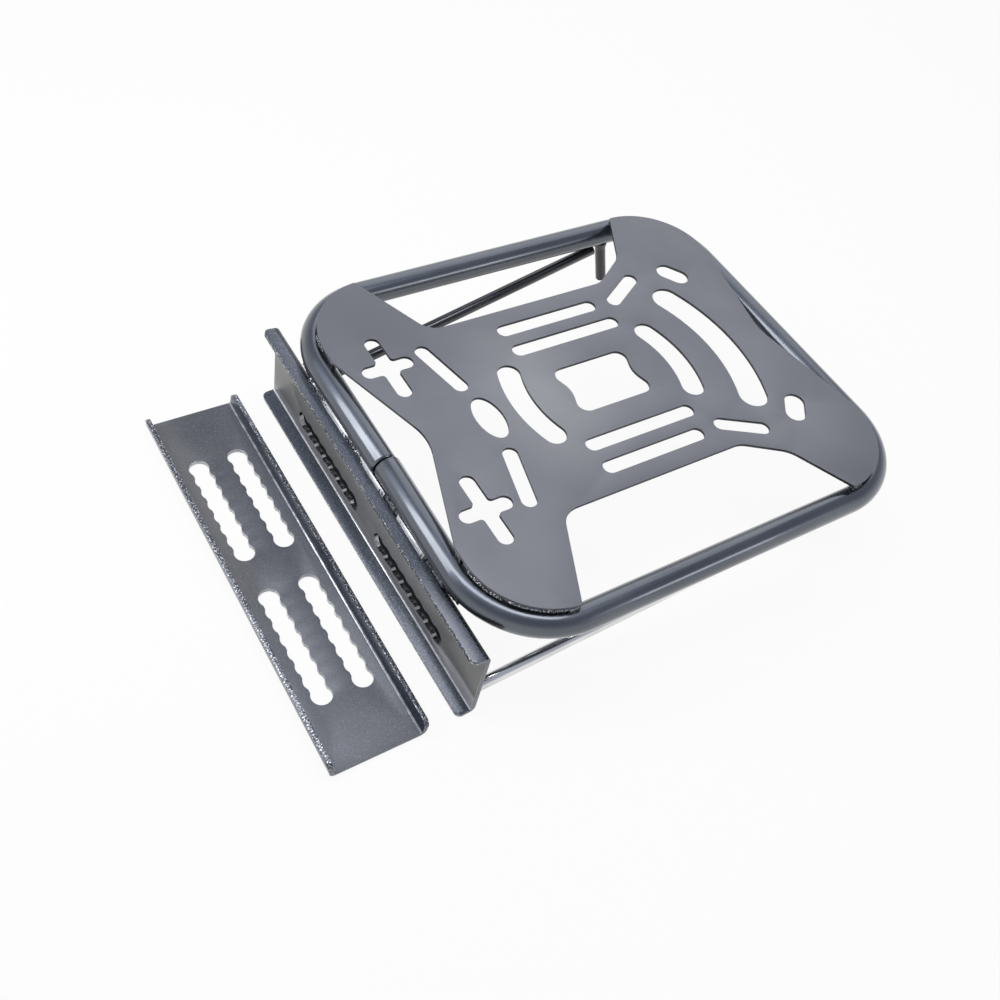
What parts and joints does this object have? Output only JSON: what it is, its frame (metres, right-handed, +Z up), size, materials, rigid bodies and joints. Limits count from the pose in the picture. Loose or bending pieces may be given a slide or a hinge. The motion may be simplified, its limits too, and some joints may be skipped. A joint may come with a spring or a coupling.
{
  "type": "motorcycle rear rack",
  "caption": "Tail rack with a slotted sheet deck on a bent tube loop, a folded front bracket, rod struts, a strap peg and a loose clamp plate.",
  "frame": {"origin": "Middle of the tube loop in plan, at the height of the deck plate's top face.", "axes": "+X points to the rear of the vehicle, away from the bracket; +Y to its left; +Z up."},
  "size_m": [0.4269, 0.3002, 0.0832],
  "materials": {
    "deck_paint": "satin",
    "tube_paint": "gloss",
    "channel_paint": "satin",
    "rod_paint": "gloss"
  },
  "bodies": {
    "root": {"tube_loop": "tube_paint", "top_plate": "deck_paint", "front_bracket": "channel_paint", "clamp_plate": "channel_paint", "strut_left": "rod_paint", "strut_right": "rod_paint", "strap_peg": "rod_paint"}
  },
  "joints": []
}
